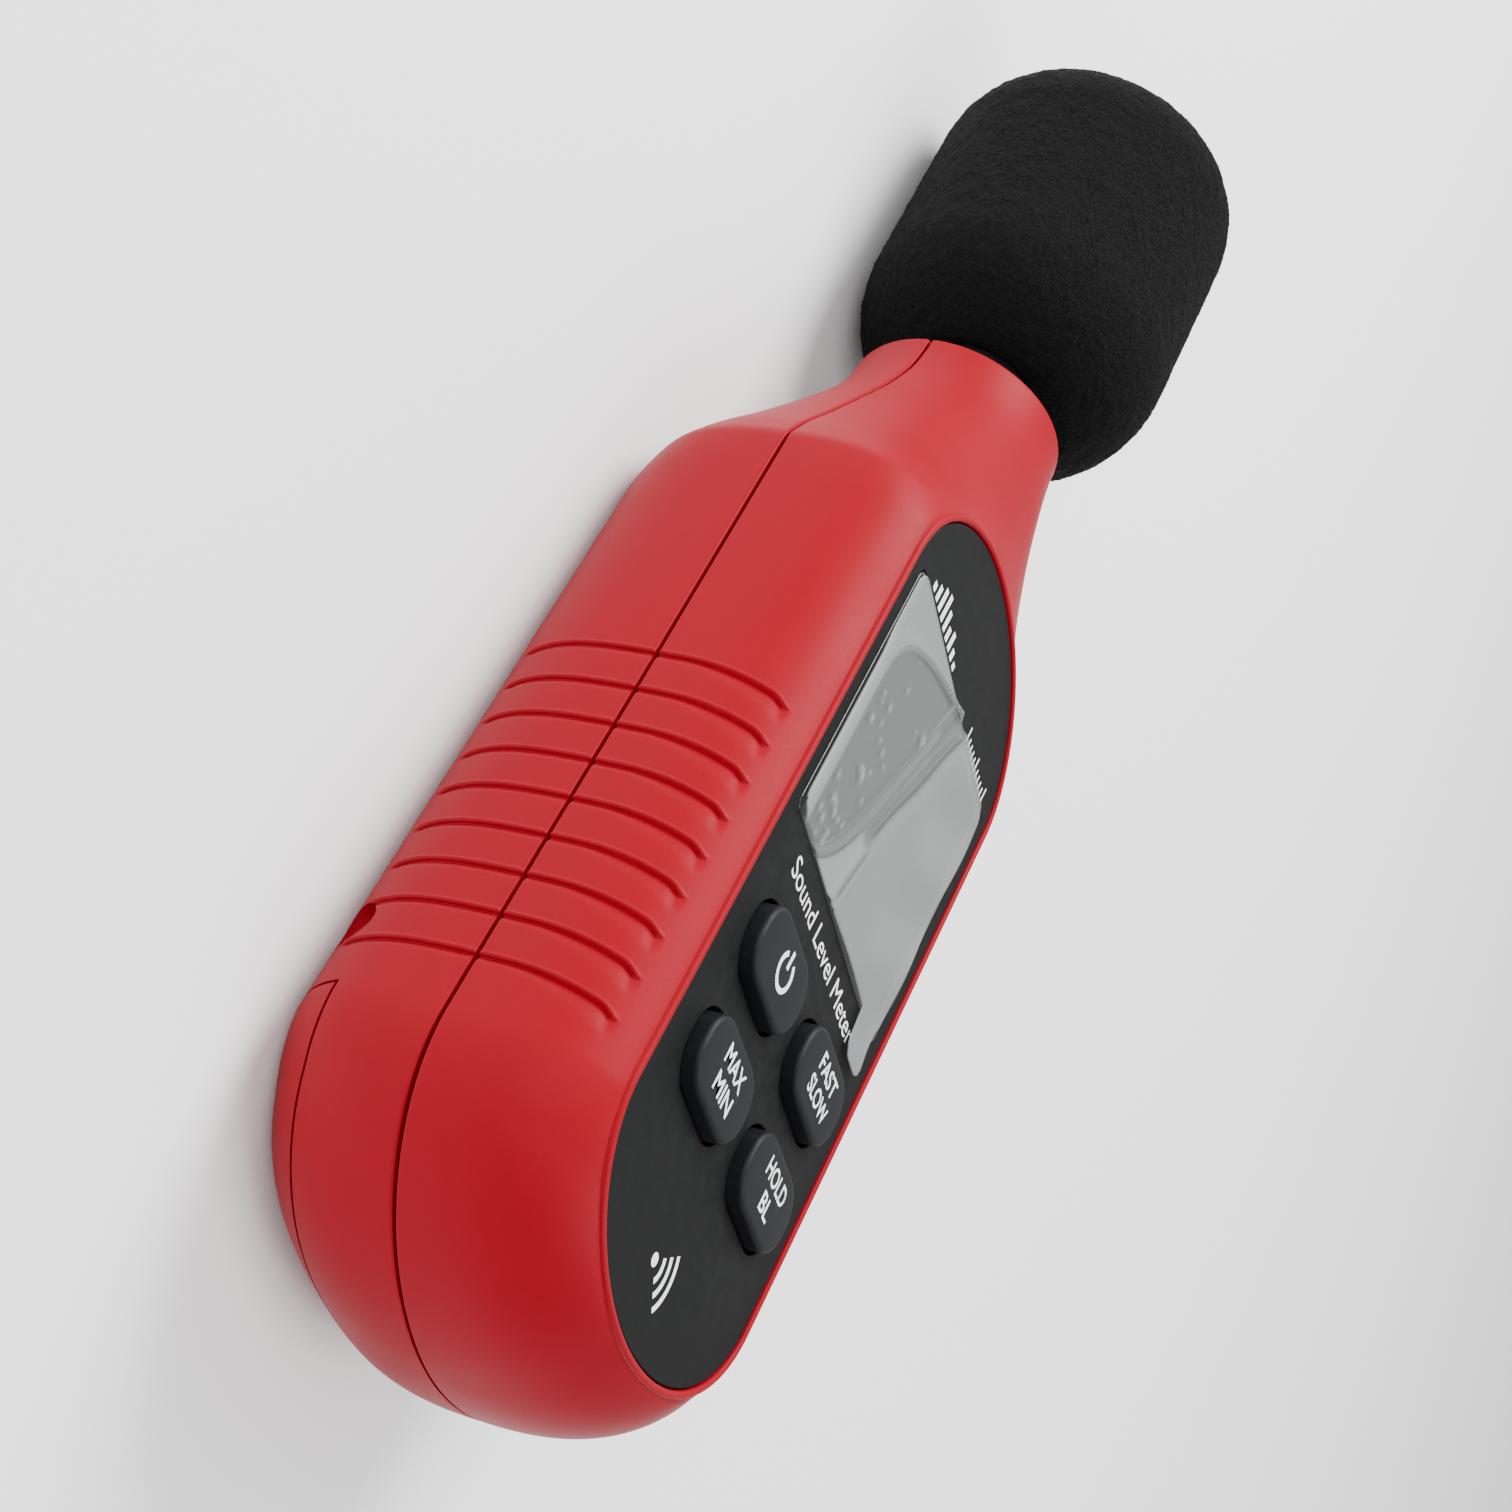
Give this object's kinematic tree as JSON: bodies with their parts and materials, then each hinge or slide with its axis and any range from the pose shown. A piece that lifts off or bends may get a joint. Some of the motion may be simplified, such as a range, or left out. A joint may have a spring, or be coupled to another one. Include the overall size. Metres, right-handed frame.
{
  "type": "sound level meter",
  "caption": "Hand-held sound level meter: rounded two-shell case with side grip grooves, display, rubber keys and a tube microphone in a foam windscreen.",
  "frame": {"origin": "middle of the footprint, on the surface that the meter lies on", "axes": "+Z out of the front face, +Y along the case towards the microphone, +X to the right with the microphone up"},
  "size_m": [0.051, 0.1668, 0.0345],
  "materials": {
    "case_red": "fine satin grain",
    "panel_black": "matte film",
    "window_clear": "clear polished",
    "film_clear": "clear peel-off film",
    "frame_white": "moulded",
    "display_grey": "grey-green reflective display",
    "key_rubber": "matte silicone",
    "steel": "plated",
    "board_green": "solder resist",
    "component_black": "moulded",
    "cell_jacket": "printed sleeve",
    "lead_red": "soft insulation",
    "lead_black": "soft insulation",
    "tube_black": "black anodised",
    "foam_black": "open-cell foam"
  },
  "bodies": {
    "case": {"amplifier_chip": "component_black", "battery_cell_1": "cell_jacket", "battery_cell_2": "cell_jacket", "battery_cell_3": "cell_jacket", "battery_lead_black": "lead_black", "battery_lead_red": "lead_red", "battery_spring_1": "steel", "battery_spring_2": "steel", "battery_spring_3": "steel", "board_screw_1": "steel", "board_screw_2": "steel", "board_screw_3": "steel", "board_screw_4": "steel", "capsule_sleeve": "key_rubber", "case_screw_1": "steel", "case_screw_2": "steel", "case_screw_3": "steel", "case_screw_4": "steel", "clock_crystal": "steel", "contact_bottom_bridge": "steel", "contact_negative": "steel", "contact_positive": "steel", "contact_top_bridge": "steel", "display_backlight": "frame_white", "display_frame": "frame_white", "display_glass": "display_grey", "display_window": "window_clear", "display_zebra_strip": "key_rubber", "filter_capacitor": "component_black", "front_panel": "panel_black", "front_shell": "case_red", "key_dome_1": "steel", "key_dome_2": "steel", "key_dome_3": "steel", "key_dome_4": "steel", "key_mat": "key_rubber", "main_board": "board_green", "microphone_bush": "key_rubber", "microphone_cap": "tube_black", "microphone_capsule": "steel", "microphone_lead_black": "lead_black", "microphone_lead_red": "lead_red", "microphone_tube": "tube_black", "processor_chip": "component_black", "protective_film": "film_clear", "rear_shell": "case_red", "trim_potentiometer": "component_black"},
    "battery_door": {"battery_door": "case_red"},
    "windscreen": {"foam_windscreen": "foam_black"},
    "power_key": {"power_key": "key_rubber"},
    "fast_slow_key": {"fast_slow_key": "key_rubber"},
    "max_min_key": {"max_min_key": "key_rubber"},
    "hold_key": {"hold_key": "key_rubber"}
  },
  "joints": [
    {"name": "battery_door_slide", "type": "slide", "parent": "case", "child": "battery_door", "axis": [0, -1, 0], "range_m": [0, 0.07]},
    {"name": "windscreen_pull", "type": "slide", "parent": "case", "child": "windscreen", "axis": [0, 1, 0], "range_m": [0, 0.05]},
    {"name": "power_key_press", "type": "slide", "parent": "case", "child": "power_key", "axis": [0, 0, -1], "range_m": [0, 0.0008], "stiffness_N_per_m": 700},
    {"name": "fast_slow_key_press", "type": "slide", "parent": "case", "child": "fast_slow_key", "axis": [0, 0, -1], "range_m": [0, 0.0008], "stiffness_N_per_m": 700},
    {"name": "max_min_key_press", "type": "slide", "parent": "case", "child": "max_min_key", "axis": [0, 0, -1], "range_m": [0, 0.0008], "stiffness_N_per_m": 700},
    {"name": "hold_key_press", "type": "slide", "parent": "case", "child": "hold_key", "axis": [0, 0, -1], "range_m": [0, 0.0008], "stiffness_N_per_m": 700}
  ]
}
